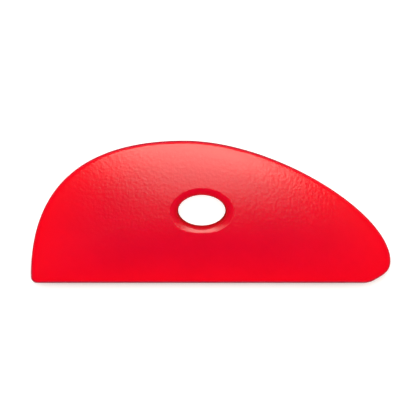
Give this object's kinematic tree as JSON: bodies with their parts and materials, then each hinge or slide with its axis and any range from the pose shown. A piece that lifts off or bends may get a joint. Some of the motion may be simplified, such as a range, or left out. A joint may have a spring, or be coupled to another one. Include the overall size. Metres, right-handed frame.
{
  "type": "pottery rib",
  "caption": "Flexible D-shaped pottery rib with a straight edge, a long curved back that runs down to a rounded nose, crowned faces and an oval thumb hole.",
  "frame": {"origin": "centre of the outline's box, on the flat land of the back face", "axes": "+X along the straight edge towards the rounded nose, +Y from the straight edge towards the curved back, +Z out of the front face"},
  "size_m": [0.127, 0.0508, 0.0064],
  "materials": {
    "polyurethane": "satin"
  },
  "bodies": {
    "root": {"rib": "polyurethane"}
  },
  "joints": []
}
